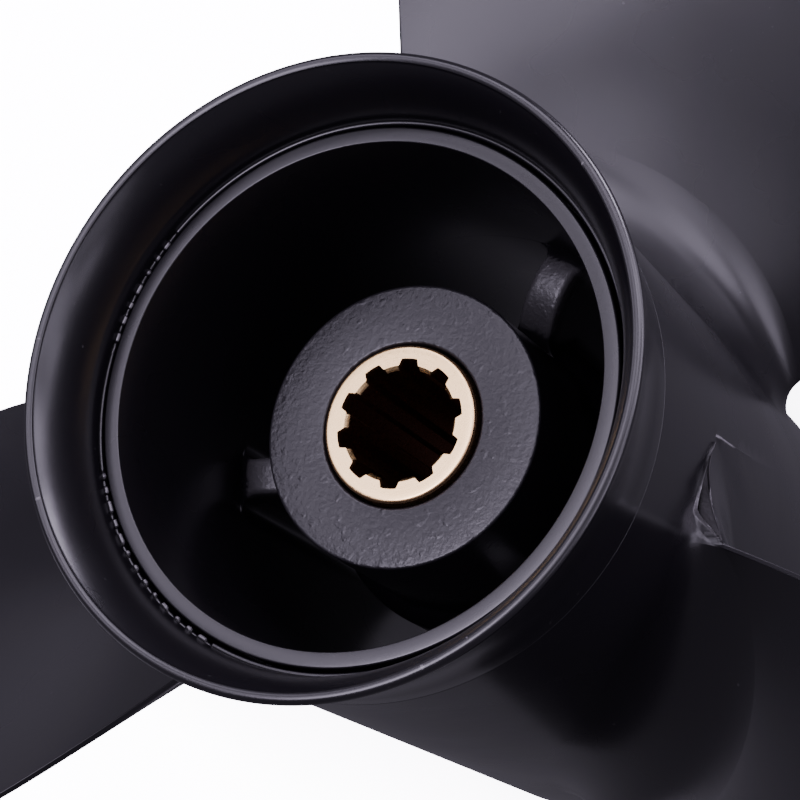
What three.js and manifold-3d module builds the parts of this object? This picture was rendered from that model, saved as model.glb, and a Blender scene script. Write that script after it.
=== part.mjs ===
// Through-hub-exhaust boat propeller: a painted aluminium casting with three blades, a flared
// diffuser ring pressed on its aft end, and a splined brass sleeve held in a rubber bush.
//
// Millimetres. +Z points aft along the shaft, the origin is on the shaft axis at the centre of
// mass, and the first blade's trailing edge leaves the barrel along +X. "Stations" are distances
// forward of the diffuser ring's aft rim. A "turn" is an angle ahead of a trailing-edge root, in
// the direction of rotation, which is clockwise seen from aft.

import * as THREE from 'three';
import { mergeVertices } from 'three/addons/utils/BufferGeometryUtils.js';
import Module from 'manifold-3d';

const wasm = await Module();
wasm.setup();

// ---------------------------------------------------------------- driving dimensions

const ORIGIN_STATION = 68.3;          // station of the centre of mass

const BLADE_COUNT = 3;
const TIP_RADIUS = 125.5;             // 9 7/8 inch propeller
const PITCH = 330.2;                  // 13 inches of advance per turn
const RAKE_SLOPE = 0.165;             // aft lean of the blade per millimetre of radius
const TRAILING_ROOT_STATION = 41.6;
const BLADE_MID_TURN = THREE.MathUtils.degToRad(28);
const LEADING_HALF_ANGLE = THREE.MathUtils.degToRad(36.5);
const TRAILING_HALF_ANGLE = THREE.MathUtils.degToRad(27.6);
const TRAILING_TAPER = THREE.MathUtils.degToRad(0.065);     // per millimetre of radius
const LEADING_ROUND_START = 47.8;     // radius at which the leading edge starts to curve in
const TRAILING_ROUND_START = 75;
const ROOT_THICKNESS = 8.6;
const TIP_THICKNESS = 3.4;
const LEADING_EDGE_THICKNESS = 1.3;
const TRAILING_EDGE_THICKNESS = 1.9;
const ROOT_FILLET = 4.6;

const BARREL_RADIUS = 39.7;           // 3 1/8 inch gearcase
const BARREL_FRONT_STATION = 121.3;
const BARREL_BORE_RADIUS = 34.65;
const LIP_STATION = 10.7;             // aft end of the casting, inside the ring
const RABBET_RADIUS = 36.8;           // turned seat that the ring is pressed on
const RABBET_SHOULDER_STATION = 20.5;

const RIM_RADIUS = 43.2;              // flared aft rim of the diffuser ring
const RING_FRONT_STATION = 20.2;
const RING_SEAT_RADIUS = 37.1;
const RING_MOUTH_RADIUS = 37.65;      // inside the ring at the lip, around a narrow groove

const HUB_RADIUS = 20.2;
const HUB_WAIST_RADIUS = 20.6;
const HUB_HOUSING_RADIUS = 23.2;      // the thicker forward part, around the bush
const HUB_AFT_STATION = 27.4;
const HUB_WAIST_STATION = 50.5;
const HUB_HOUSING_STATION = 56.5;
const HUB_FRONT_STATION = 116.5;
const HUB_END_WALL = 6;
const HUB_AFT_BORE_RADIUS = 11.65;
const BUSH_BORE_RADIUS = 17.2;

const RIB_TURN = THREE.MathUtils.degToRad(38.5);
const RIB_THICKNESS = 5.5;
const RIB_AFT_STATION = 45;
const RIB_FRONT_STATION = 117.5;

const FIT_GAP = 0.3;                  // room left between neighbouring pieces

const SLEEVE_RADIUS = 11.2;
const SLEEVE_AFT_STATION = 26.6;
const SLEEVE_FRONT_STATION = 114.5;
const SLEEVE_EDGE = 0.5;
const SPLINE_COUNT = 10;
const SPLINE_MINOR_RADIUS = 7.8;
const SPLINE_MAJOR_RADIUS = 9.25;
const SPLINE_MOUTH_WIDTH = 2.45;
const SPLINE_FLOOR_WIDTH = 1.7;
const SPLINE_PHASE = THREE.MathUtils.degToRad(-4.6);
const SPLINE_LEAD_IN = 0.45;

const BUSH_FRONT_STATION = 108;
const BUSH_CHAMFER = 1;

const CASTING_SEGMENTS = 72;
const SMALL_SEGMENTS = 60;
const BLADE_ROWS = 15;
const BLADE_COLUMNS = 12;
const BLADE_BURIED_RADIUS = 37.2;     // the root starts inside the barrel's wall
const BLADE_TIP_STEP = 0.35;          // the last row stops just short of the tip

// ---------------------------------------------------------------- materials

const SATIN_BLACK = { color: 0x1c1c1f, roughness: 0.42, metalness: 0.05 };

function paintedAluminium() {
  return new THREE.MeshStandardMaterial(SATIN_BLACK);
}

function ringPaint() {
  return new THREE.MeshStandardMaterial({ ...SATIN_BLACK, roughness: 0.36 });
}

function blackRubber() {
  return new THREE.MeshStandardMaterial({ color: 0x0d0d0d, roughness: 0.85, metalness: 0 });
}

function machinedBrass() {
  return new THREE.MeshStandardMaterial({ color: 0xd9b67c, roughness: 0.3, metalness: 1 });
}

// ---------------------------------------------------------------- helpers

const heightAt = (station) => ORIGIN_STATION - station;

/** A closed ring of revolution about Z from a closed loop of [radius, station] corners. */
function revolve(corners, segments) {
  const loop = corners.map(([radius, station]) => new THREE.Vector2(radius, heightAt(station)));
  const rising = THREE.ShapeUtils.isClockWise(loop) ? loop.reverse() : loop;
  const lathe = new THREE.LatheGeometry([...rising, rising[0].clone()], segments);
  return lathe.rotateX(Math.PI / 2);
}

/** A three.js geometry as a manifold solid. */
function solidFrom(geometry) {
  const bare = new THREE.BufferGeometry();
  bare.setAttribute('position', geometry.getAttribute('position'));
  bare.setIndex(geometry.getIndex());
  const merged = mergeVertices(bare, 1e-4);
  return new wasm.Manifold(new wasm.Mesh({
    numProp: 3,
    vertProperties: new Float32Array(merged.getAttribute('position').array),
    triVerts: new Uint32Array(merged.getIndex().array),
  }));
}

/** A manifold solid as a three.js geometry with flat-face normals. */
function geometryFrom(solid) {
  const mesh = solid.getMesh();
  const geometry = new THREE.BufferGeometry();
  geometry.setAttribute('position', new THREE.BufferAttribute(mesh.vertProperties, 3));
  geometry.setIndex(new THREE.BufferAttribute(mesh.triVerts, 1));
  geometry.computeVertexNormals();
  return geometry;
}

function namedMesh(name, geometry, material) {
  const mesh = new THREE.Mesh(geometry, material);
  mesh.name = name;
  return mesh;
}

// ---------------------------------------------------------------- blade

/** How far the outline has drawn in at a radius: 1 on the straight part, 0 at the tip. */
function outlineCloseness(radius, roundStart, power) {
  const along = Math.max(0, (radius - roundStart) / (TIP_RADIUS - roundStart));
  return Math.sqrt(Math.max(0, 1 - Math.min(1, along) ** power));
}

function leadingTurn(radius) {
  return BLADE_MID_TURN + LEADING_HALF_ANGLE * outlineCloseness(radius, LEADING_ROUND_START, 2);
}

function trailingTurn(radius) {
  const straight = TRAILING_HALF_ANGLE - TRAILING_TAPER * (radius - BARREL_RADIUS);
  return BLADE_MID_TURN - straight * outlineCloseness(radius, TRAILING_ROUND_START, 2.6);
}

/** 0 on the leading and trailing edges, 1 in the middle of the chord. */
const chordFullness = (chord) => 4 * chord * (1 - chord);

/** Thickness of the section, chord running from 0 at the leading to 1 at the trailing edge. */
function sectionThickness(radius, chord) {
  const outward = (radius - BARREL_RADIUS) / (TIP_RADIUS - BARREL_RADIUS);
  const middle = THREE.MathUtils.lerp(ROOT_THICKNESS, TIP_THICKNESS, Math.max(0, outward));
  const edge = THREE.MathUtils.lerp(LEADING_EDGE_THICKNESS, TRAILING_EDGE_THICKNESS, chord);
  const swell = chordFullness(chord) ** 0.75 * outlineCloseness(radius, LEADING_ROUND_START, 2);
  return edge + (middle - edge) * swell;
}

/** Extra thickness on each face where the blade flares into the barrel. */
function filletThickness(radius, chord) {
  const fade = Math.exp(-Math.max(0, radius - BARREL_RADIUS) / (0.55 * ROOT_FILLET));
  return ROOT_FILLET * fade * (0.25 + 0.75 * chordFullness(chord) ** 0.5);
}

/** A point on the blade: side +1 is the aft pressure face, -1 the forward suction face. */
function bladePoint(radius, chord, side) {
  const turn = THREE.MathUtils.lerp(leadingTurn(radius), trailingTurn(radius), chord);
  const station = TRAILING_ROOT_STATION + (PITCH * turn) / (2 * Math.PI)
    - RAKE_SLOPE * (radius - BARREL_RADIUS);
  const advance = PITCH / (2 * Math.PI * radius);
  const scale = 1 / Math.hypot(1, advance);
  const section = side < 0 ? sectionThickness(radius, chord) : 0;
  const offset = filletThickness(radius, chord) + section;
  const angle = -turn - (side * offset * scale * advance) / radius;
  return new THREE.Vector3(
    radius * Math.cos(angle),
    radius * Math.sin(angle),
    heightAt(station) + side * offset * scale,
  );
}

/** Even steps in angle, so that rows and columns crowd towards both ends. */
const crowded = (index, count) => (1 - Math.cos((Math.PI * index) / count)) / 2;

/** One blade as a closed mesh: two faces joined round the root, the edges and the tip. */
function bladeGeometry() {
  const positions = [];
  const triangles = [];
  const vertex = (side, row, column) => (
    (side < 0 ? BLADE_ROWS + 1 : 0) + row) * (BLADE_COLUMNS + 1) + column;

  for (const side of [1, -1]) {
    for (let row = 0; row <= BLADE_ROWS; row += 1) {
      const reach = TIP_RADIUS - BLADE_TIP_STEP - BLADE_BURIED_RADIUS;
      const radius = BLADE_BURIED_RADIUS + reach * crowded(row, BLADE_ROWS);
      for (let column = 0; column <= BLADE_COLUMNS; column += 1) {
        positions.push(...bladePoint(radius, crowded(column, BLADE_COLUMNS), side).toArray());
      }
    }
  }
  const quad = (a, b, c, d) => triangles.push(a, b, c, a, c, d);
  for (let row = 0; row < BLADE_ROWS; row += 1) {
    for (let column = 0; column < BLADE_COLUMNS; column += 1) {
      quad(vertex(1, row, column), vertex(1, row + 1, column),
        vertex(1, row + 1, column + 1), vertex(1, row, column + 1));
      quad(vertex(-1, row, column), vertex(-1, row, column + 1),
        vertex(-1, row + 1, column + 1), vertex(-1, row + 1, column));
    }
    for (const [column, first, second] of [[0, 1, -1], [BLADE_COLUMNS, -1, 1]]) {
      quad(vertex(first, row, column), vertex(second, row, column),
        vertex(second, row + 1, column), vertex(first, row + 1, column));
    }
  }
  for (let column = 0; column < BLADE_COLUMNS; column += 1) {
    for (const [row, first, second] of [[0, -1, 1], [BLADE_ROWS, 1, -1]]) {
      quad(vertex(first, row, column), vertex(second, row, column),
        vertex(second, row, column + 1), vertex(first, row, column + 1));
    }
  }
  const geometry = new THREE.BufferGeometry();
  geometry.setAttribute('position', new THREE.Float32BufferAttribute(positions, 3));
  geometry.setIndex(triangles);
  return geometry;
}

// ---------------------------------------------------------------- casting

/** Outer barrel, with the turned seat for the diffuser ring at its aft end. */
function barrelSolid() {
  return solidFrom(revolve([
    [BARREL_BORE_RADIUS, LIP_STATION],
    [RABBET_RADIUS, LIP_STATION],
    [RABBET_RADIUS, RABBET_SHOULDER_STATION],
    [BARREL_RADIUS, RABBET_SHOULDER_STATION],
    [BARREL_RADIUS, BARREL_FRONT_STATION],
    [BARREL_BORE_RADIUS, BARREL_FRONT_STATION],
  ], CASTING_SEGMENTS));
}

/** Inner hub: a waisted aft boss with a small bore, and a bush housing open at the front. */
function innerHubSolid() {
  return solidFrom(revolve([
    [HUB_AFT_BORE_RADIUS, HUB_AFT_STATION],
    [HUB_RADIUS, HUB_AFT_STATION],
    [HUB_WAIST_RADIUS, HUB_WAIST_STATION],
    [HUB_HOUSING_RADIUS, HUB_HOUSING_STATION],
    [HUB_HOUSING_RADIUS, HUB_FRONT_STATION],
    [BUSH_BORE_RADIUS, HUB_FRONT_STATION],
    [BUSH_BORE_RADIUS, HUB_AFT_STATION + HUB_END_WALL],
    [HUB_AFT_BORE_RADIUS, HUB_AFT_STATION + HUB_END_WALL],
  ], CASTING_SEGMENTS));
}

/** A radial rib that carries the inner hub; the exhaust passes between the ribs. */
function ribGeometry() {
  const inner = (BUSH_BORE_RADIUS + HUB_RADIUS) / 2;
  const outer = (BARREL_BORE_RADIUS + BARREL_RADIUS) / 2;
  const length = RIB_FRONT_STATION - RIB_AFT_STATION;
  const rib = new THREE.BoxGeometry(outer - inner, RIB_THICKNESS, length);
  return rib.translate((inner + outer) / 2, 0, heightAt(RIB_AFT_STATION + length / 2));
}

function castingGeometry() {
  let casting = barrelSolid().add(innerHubSolid());
  for (let index = 0; index < BLADE_COUNT; index += 1) {
    const spacing = (2 * Math.PI * index) / BLADE_COUNT;
    casting = casting.add(solidFrom(bladeGeometry().rotateZ(spacing)));
    casting = casting.add(solidFrom(ribGeometry().rotateZ(spacing - RIB_TURN)));
  }
  return geometryFrom(casting);
}

// ---------------------------------------------------------------- diffuser ring

/** Bell-mouthed ring: flush with the barrel in front, flaring to a thin rounded rim aft. */
function ringGeometry() {
  const flare = new THREE.CubicBezierCurve(
    new THREE.Vector2(RIM_RADIUS, 0.9),
    new THREE.Vector2(41.6, 5.6),
    new THREE.Vector2(BARREL_RADIUS, 10.5),
    new THREE.Vector2(BARREL_RADIUS, 17),
  );
  const bell = new THREE.CubicBezierCurve(
    new THREE.Vector2(RING_MOUTH_RADIUS, LIP_STATION + 0.4),
    new THREE.Vector2(38.6, 7.6),
    new THREE.Vector2(40.4, 3.6),
    new THREE.Vector2(RIM_RADIUS - 1.1, 0.5),
  );
  const corners = (curve, count) => curve.getPoints(count).map((point) => [point.x, point.y]);
  return revolve([
    [RING_SEAT_RADIUS, RING_FRONT_STATION],
    [RING_SEAT_RADIUS, LIP_STATION + 3.6],
    ...corners(bell, 5),
    [RIM_RADIUS - 0.6, 0],
    [RIM_RADIUS - 0.15, 0.25],
    ...corners(flare, 5),
    [BARREL_RADIUS, RING_FRONT_STATION],
  ], CASTING_SEGMENTS);
}

// ---------------------------------------------------------------- bush and sleeve

function bushGeometry() {
  const aft = HUB_AFT_STATION + HUB_END_WALL + FIT_GAP;
  const inner = SLEEVE_RADIUS + FIT_GAP;
  const outer = BUSH_BORE_RADIUS - FIT_GAP;
  return revolve([
    [inner, aft],
    [outer - BUSH_CHAMFER, aft],
    [outer, aft + BUSH_CHAMFER],
    [outer, BUSH_FRONT_STATION - BUSH_CHAMFER],
    [outer - BUSH_CHAMFER, BUSH_FRONT_STATION],
    [inner, BUSH_FRONT_STATION],
  ], SMALL_SEGMENTS);
}

/** Outline of the splined bore: lands on the minor radius, grooves cut out to the major. */
function splineOutline() {
  const mouth = Math.asin(SPLINE_MOUTH_WIDTH / 2 / SPLINE_MINOR_RADIUS);
  const floor = Math.asin(SPLINE_FLOOR_WIDTH / 2 / SPLINE_MAJOR_RADIUS);
  const step = (2 * Math.PI) / SPLINE_COUNT;
  const outline = new THREE.Shape();
  for (let index = 0; index < SPLINE_COUNT; index += 1) {
    const groove = SPLINE_PHASE + index * step;
    outline.absarc(0, 0, SPLINE_MINOR_RADIUS, groove + mouth - step, groove - mouth, false);
    outline.absarc(0, 0, SPLINE_MAJOR_RADIUS, groove - floor, groove + floor, false);
  }
  outline.closePath();
  return outline;
}

/** Brass sleeve: a turned body with rounded-off ends, less the splines and their lead-ins. */
function sleeveGeometry() {
  const aft = SLEEVE_AFT_STATION;
  const front = SLEEVE_FRONT_STATION;
  const body = new THREE.LatheGeometry([
    new THREE.Vector2(0, heightAt(front)),
    new THREE.Vector2(SLEEVE_RADIUS - SLEEVE_EDGE, heightAt(front)),
    new THREE.Vector2(SLEEVE_RADIUS, heightAt(front - SLEEVE_EDGE)),
    new THREE.Vector2(SLEEVE_RADIUS, heightAt(aft + SLEEVE_EDGE)),
    new THREE.Vector2(SLEEVE_RADIUS - SLEEVE_EDGE, heightAt(aft)),
    new THREE.Vector2(0, heightAt(aft)),
  ], SMALL_SEGMENTS).rotateX(Math.PI / 2);
  const overrun = 2;
  const broach = new THREE.ExtrudeGeometry(splineOutline(), {
    depth: front - aft + 2 * overrun,
    bevelEnabled: false,
    curveSegments: 3,
  }).translate(0, 0, heightAt(front + overrun));
  const countersink = (endStation, direction) => {
    const wide = SPLINE_MINOR_RADIUS + SPLINE_LEAD_IN + overrun;
    const cone = new THREE.LatheGeometry([
      new THREE.Vector2(0, -wide),
      new THREE.Vector2(wide, 0),
      new THREE.Vector2(0, 0),
    ], SMALL_SEGMENTS).rotateX(Math.PI / 2);
    cone.rotateX(direction > 0 ? 0 : Math.PI);
    return cone.translate(0, 0, heightAt(endStation) + direction * overrun);
  };
  const sleeve = solidFrom(body)
    .subtract(solidFrom(broach))
    .subtract(solidFrom(countersink(aft, 1)))
    .subtract(solidFrom(countersink(front, -1)));
  return geometryFrom(sleeve);
}

// ---------------------------------------------------------------- assembly

const propeller = new THREE.Group();

const hull = new THREE.Group();
hull.add(namedMesh('propeller_casting', castingGeometry(), paintedAluminium()));
hull.add(namedMesh('diffuser_ring', ringGeometry(), ringPaint()));
propeller.add(hull);

const hub = new THREE.Group();
hub.add(namedMesh('rubber_bush', bushGeometry(), blackRubber()));
hub.add(namedMesh('spline_sleeve', sleeveGeometry(), machinedBrass()));
propeller.add(hub);

export default propeller;
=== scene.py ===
"""A satin-black boat propeller with a through-hub exhaust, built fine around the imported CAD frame.

Shapes are worked out in millimetres in the row frame: +Z points aft along the shaft, the first
blade's trailing edge leaves the barrel along +X, and the blades turn clockwise seen from aft.
"""

import math

import bmesh
import bpy
import numpy as np
from mathutils import Matrix, Vector
from mathutils.geometry import delaunay_2d_cdt


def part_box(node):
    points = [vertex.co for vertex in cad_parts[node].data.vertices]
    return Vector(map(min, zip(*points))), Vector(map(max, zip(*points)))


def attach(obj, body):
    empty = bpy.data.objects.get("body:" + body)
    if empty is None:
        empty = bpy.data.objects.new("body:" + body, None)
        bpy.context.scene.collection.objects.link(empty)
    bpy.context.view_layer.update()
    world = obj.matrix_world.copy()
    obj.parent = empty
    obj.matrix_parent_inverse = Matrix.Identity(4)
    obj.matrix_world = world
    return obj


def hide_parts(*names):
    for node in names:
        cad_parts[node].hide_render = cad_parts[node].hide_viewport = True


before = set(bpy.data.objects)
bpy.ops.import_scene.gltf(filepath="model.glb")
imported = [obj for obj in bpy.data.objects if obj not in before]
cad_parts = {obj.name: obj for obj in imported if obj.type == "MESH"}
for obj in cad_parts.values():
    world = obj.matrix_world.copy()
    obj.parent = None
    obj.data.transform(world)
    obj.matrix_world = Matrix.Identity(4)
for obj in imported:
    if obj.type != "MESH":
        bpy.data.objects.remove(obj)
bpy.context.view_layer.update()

MM = 0.001
SAME_HEIGHT = 0.02

# ------------------------------------------------------------------ sizes read from the frame


def node_box(node):
    """Lowest and highest corner of a CAD node in millimetres."""
    low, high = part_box(node)
    return np.array(low) / MM, np.array(high) / MM


def node_corners(node):
    """Every corner of a CAD node in millimetres."""
    return np.array([corner.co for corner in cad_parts[node].data.vertices]) / MM


def radii_at(node, height):
    """Smallest and largest radius of a CAD node's corners at a height, in millimetres."""
    corners = node_corners(node)
    level = corners[np.abs(corners[:, 2] - height) < SAME_HEIGHT]
    radius = np.hypot(level[:, 0], level[:, 1])
    return radius.min(), radius.max()


casting_low, casting_high = node_box("propeller_casting")
ring_low, ring_high = node_box("diffuser_ring")
bush_low, bush_high = node_box("rubber_bush")
sleeve_low, sleeve_high = node_box("spline_sleeve")

TIP_RADIUS = float(np.hypot(*node_corners("propeller_casting")[:, :2].T).max())
BARREL_FRONT = casting_low[2]
LIP = casting_high[2]
RIM = ring_high[2]
RIM_RADIUS = ring_high[0]
RING_FRONT = ring_low[2]
BARREL_BORE, BARREL_RADIUS = radii_at("propeller_casting", BARREL_FRONT)
RABBET_RADIUS = radii_at("propeller_casting", LIP)[1]
RING_SEAT = radii_at("diffuser_ring", RING_FRONT)[0]
BUSH_RADIUS = bush_high[0]
SLEEVE_RADIUS = sleeve_high[0]

# ------------------------------------------------------------------ form of the casting

BLADE_COUNT = 3
THIRD = 2 * math.pi / BLADE_COUNT
PITCH = 330.2
RAKE_SLOPE = 0.165
TRAILING_ROOT = RIM - 41.6                # height of the trailing edge at the barrel
BLADE_MID_TURN = math.radians(28)
LEADING_HALF_ANGLE = math.radians(36.5)
TRAILING_HALF_ANGLE = math.radians(27.6)
TRAILING_TAPER = math.radians(0.065)
LEADING_ROUND_START = 47.8
TRAILING_ROUND_START = 75.0
ROOT_THICKNESS = 8.6
TIP_THICKNESS = 3.4
LEADING_EDGE = 1.3
TRAILING_EDGE = 0.9

SHOULDER = RING_FRONT - 0.04
HUB_RADIUS = 20.2
HUB_WAIST_RADIUS = 20.6
HUB_HOUSING_RADIUS = 23.2
HUB_AFT = RIM - 27.4
HUB_WAIST = RIM - 50.5
HUB_HOUSING = RIM - 56.5
HUB_END_WALL = 6.0
HUB_AFT_BORE = 11.65
HUB_FRONT = BARREL_FRONT + 4.8
BUSH_BORE = BUSH_RADIUS + 0.3
RIB_AFT = RIM - 45.0
RIB_FRONT = HUB_FRONT + 1.5
RIB_HALF_THICKNESS = 2.75
RIB_NOSE = 0.9                            # rounding of a rib's two ends
RIB_FILLET = 2.6
RIB_DRAFT = 0.7                           # how much each side gains from aft to front
RIB_HUB_ROUNDING = 9.6
RIB_HUB_DROP = 5.0
RIB_BARREL_ROUNDING = 4.0
RIB_BARREL_DROP = 2.2

SECTOR = 168                              # steps round one blade's third of the barrel
AROUND = BLADE_COUNT * SECTOR
STEP = 2 * math.pi / AROUND
RIB_STEPS = 54                            # a rib stands this many steps ahead of a trailing edge

# ------------------------------------------------------------------ mesh helpers


class Sheet:
    """Collects points and faces in millimetres and turns them into one Blender object."""

    def __init__(self):
        self.points = []
        self.faces = []
        self.wear_and_highlight_share = []

    def add(self, points, faces, wear_and_highlight_share=0.0):
        """Adds points and faces, each with a share from 0 to 1 of lighter bare-metal colour: chipped
        paint in some places, a painted highlight along bright edges in others.
        """
        start = len(self.points)
        self.points.extend(map(tuple, points))
        self.faces.extend(tuple(start + corner for corner in face) for face in faces)
        self.wear_and_highlight_share.extend(np.broadcast_to(np.ravel(wear_and_highlight_share), len(points)))

    def add_grid(self, grid, wear_and_highlight_share=0.0):
        """Quads over a rows x columns x 3 grid whose last column joins the first."""
        rows, columns = grid.shape[:2]
        index = np.arange(rows * columns).reshape(rows, columns)
        beside = np.roll(index, -1, axis=1)
        quads = np.stack([index[:-1], beside[:-1], beside[1:], index[1:]], axis=-1)
        self.add(grid.reshape(-1, 3), quads.reshape(-1, 4).tolist(), wear_and_highlight_share)

    def build(self, name, crease_degrees=35):
        """One smooth-shaded object, its doubled points merged and its faces turned outward."""
        mesh = bpy.data.meshes.new(name)
        mesh.from_pydata([(x * MM, y * MM, z * MM) for x, y, z in self.points], [], self.faces)
        # each point's share of lighter bare-metal colour: chipped paint on the ring, painted
        # highlights along bright edges
        mesh.attributes.new("wear_and_highlight", "FLOAT", "POINT").data.foreach_set(
            "value", np.array(self.wear_and_highlight_share, np.float32))
        work = bmesh.new()
        work.from_mesh(mesh)
        bmesh.ops.remove_doubles(work, verts=work.verts, dist=2e-6)
        bmesh.ops.dissolve_degenerate(work, edges=work.edges, dist=1e-7)
        bmesh.ops.recalc_face_normals(work, faces=work.faces)
        if work.calc_volume(signed=True) < 0:
            bmesh.ops.reverse_faces(work, faces=work.faces)
        work.to_mesh(mesh)
        work.free()
        mesh.shade_smooth()
        mesh.set_sharp_from_angle(angle=math.radians(crease_degrees))
        piece = bpy.data.objects.new(name, mesh)
        bpy.context.scene.collection.objects.link(piece)
        return piece


def corners_of(piece):
    """Radius, angle and height of every corner of a piece, in millimetres and radians."""
    flat = np.empty(3 * len(piece.data.vertices))
    piece.data.vertices.foreach_get("co", flat)
    x, y, z = flat.reshape(-1, 3).T / MM
    return np.hypot(x, y), np.arctan2(y, x), z


def mark(piece, name, values):
    """Adds to a number that each corner carries for the piece's material to read."""
    layer = piece.data.attributes.get(name) or piece.data.attributes.new(name, "FLOAT", "POINT")
    had = np.empty(len(piece.data.vertices), np.float32)
    layer.data.foreach_get("value", had)
    layer.data.foreach_set("value", np.clip(had + values, 0, 1).astype(np.float32))


def polar(radius, angle, height):
    """Points from radius, angle and height arrays of one shape."""
    radius, angle, height = np.broadcast_arrays(radius, angle, height)
    return np.stack([radius * np.cos(angle), radius * np.sin(angle), height], axis=-1)


def turned(profile, around=AROUND):
    """Grid swept round the shaft by an open profile of (radius, height) points."""
    profile = np.array(profile, float)
    angle = np.arange(around) * 2 * math.pi / around
    return polar(profile[:, 0, None], angle[None, :], profile[:, 1, None])


def rounded(corners, steps=4):
    """An open (radius, height) profile through corners, each with its own rounding radius."""
    path = [np.array(corners[0][:2], float)]
    for before, corner, after in zip(corners, corners[1:], corners[2:]):
        point = np.array(corner[:2], float)
        if corner[2] == 0:
            path.append(point)
            continue
        back = np.array(before[:2], float) - point
        ahead = np.array(after[:2], float) - point
        back /= np.linalg.norm(back)
        ahead /= np.linalg.norm(ahead)
        half = 0.5 * math.acos(np.clip(back @ ahead, -1, 1))
        middle = (back + ahead) / np.linalg.norm(back + ahead)
        centre = point + middle * corner[2] / math.sin(half)
        start = point + back * corner[2] / math.tan(half) - centre
        stop = point + ahead * corner[2] / math.tan(half) - centre
        sweep = math.pi - 2 * half
        for index in range(steps + 1):
            share = index / steps
            blend = (
                math.sin((1 - share) * sweep) * start + math.sin(share * sweep) * stop
            ) / math.sin(sweep)
            path.append(centre + blend)
    path.append(np.array(corners[-1][:2], float))
    return path


def arc(centre, radius, angles):
    """Points round a centre, at angles in radians."""
    return [centre + radius * np.array((math.cos(angle), math.sin(angle))) for angle in angles]


def bezier(a, b, c, d, count):
    """Points on a cubic Bezier curve from a to d."""
    t = np.linspace(0, 1, count)[:, None]
    a, b, c, d = (np.array(p, float)[None] for p in (a, b, c, d))
    return list((1 - t) ** 3 * a + 3 * t * (1 - t) ** 2 * b + 3 * t * t * (1 - t) * c + t ** 3 * d)


def crowded(count):
    """count + 1 shares from 0 to 1 that crowd towards both ends."""
    return (1 - np.cos(np.pi * np.arange(count + 1) / count)) / 2


# ------------------------------------------------------------------ blade surface

TIP_ROUND = 0.9                           # how far in from the tip its edge starts to round
FACE_COLUMNS = 44
NOSE_COLUMNS = 8
BLADE_ROWS = 64
FILLET_LEVELS = np.arcsin(np.linspace(0, 0.985, 34) ** 1.1)
APRON_REACH = (3.0, 1.6, 0.6)             # rings laid on the barrel just outside the fillet
FILLET = 4.5                              # the root fillet's size at the leading edge
PRESSURE_SWELL = 11.5                     # and how much it grows half way along the root
SUCTION_REACH_SWELL = 4.5
SUCTION_RISE_SWELL = 3.5
TRAILING_REACH = 4.4                      # the fillet at the trailing edge's aft corner
TRAILING_RISE = 4.0
TRAILING_SPLAY = 25                       # degrees that the fillet turns through at each end
LEADING_SPLAY = 30
LEADING_END = 0.06                        # share of the chord that each turn takes
TRAILING_END = 0.1
# share of lighter metal colour down the trailing edge beside the hollow: a painted highlight
TRAILING_HIGHLIGHT = 0.45
TIP_GAP = 0.02                            # keeps the fine tip inside the frame's

# the leaf-shaped hollow: its columns, from the edge's aft corner to the suction face, and sizes
LEAF_SPREAD = np.concatenate([[-0.9, -0.6, -0.3, 0, 0.02], np.linspace(0.05, 0.98, 31)])
LEAF_DEPTH = 2.3
LEAF_RIM = 0.42
# share of lighter metal colour on the hollow's rims: a painted highlight
LEAF_RIM_HIGHLIGHT = 0.62
LEAF_WIDTH = 6.2
LEAF_BOW = 4.2
LEAF_REACH = 13.0
LEAF_RISE = 4.3
LEAF_END = 0.16                           # share of the suction face's chord that leads up to it


def closeness(radius, start, power):
    """1 up to the start radius, then rounding down to 0 at the tip."""
    along = np.clip((radius - start) / (TIP_RADIUS - start), 0, 1)
    return np.sqrt(1 - along ** power)


def leading_turn(radius):
    """How far round from the trailing edge's root the leading edge is at a radius."""
    return BLADE_MID_TURN + LEADING_HALF_ANGLE * closeness(radius, LEADING_ROUND_START, 2)


def trailing_turn(radius):
    """How far round from its own root the trailing edge is at a radius."""
    straight = TRAILING_HALF_ANGLE - TRAILING_TAPER * (radius - BARREL_RADIUS)
    return BLADE_MID_TURN - straight * closeness(radius, TRAILING_ROUND_START, 2.6)


def thickness(radius, chord):
    """Thickness of the section; chord runs from 0 at its leading edge to 1 at its trailing edge."""
    outward = np.clip((radius - BARREL_RADIUS) / (TIP_RADIUS - BARREL_RADIUS), 0, 1)
    middle = ROOT_THICKNESS + (TIP_THICKNESS - ROOT_THICKNESS) * outward
    edge = LEADING_EDGE + (TRAILING_EDGE - LEADING_EDGE) * chord
    swell = (4 * chord * (1 - chord)) ** 0.75 * closeness(radius, LEADING_ROUND_START, 2)
    return edge + (middle - edge) * swell


def blade_wall(radius, chord, depth, overhang):
    """Angle and height of the blade's surface.

    depth runs from 0 on the aft pressure face to 1 on the forward suction face, and overhang
    is how far the point stands aft of the section's end, along the chord, in millimetres.
    """
    lead, trail = leading_turn(radius), trailing_turn(radius)
    turn = lead + (trail - lead) * chord
    height = TRAILING_ROOT - PITCH * turn / (2 * np.pi) + RAKE_SLOPE * (radius - BARREL_RADIUS)
    advance = PITCH / (2 * np.pi * radius)
    scale = 1 / np.hypot(1, advance)
    full = thickness(radius, chord)
    offset = full * (0.5 + (depth - 0.5) * closeness(radius, TIP_RADIUS - TIP_ROUND, 2))
    angle = -turn + (offset * advance + overhang) * scale / radius
    height = height + (overhang * advance - offset) * scale
    return angle, height


def smooth(value, low, high):
    """0 below low, 1 above high, easing in between."""
    share = np.clip((value - low) / (high - low), 0, 1)
    return share * share * (3 - 2 * share)


def within(value, low, high, low_fade, high_fade):
    """1 between low and high, easing to 0 at both over the widths of the two fades."""
    return smooth(value, low, low + low_fade) * (1 - smooth(value, high - high_fade, high))


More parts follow.
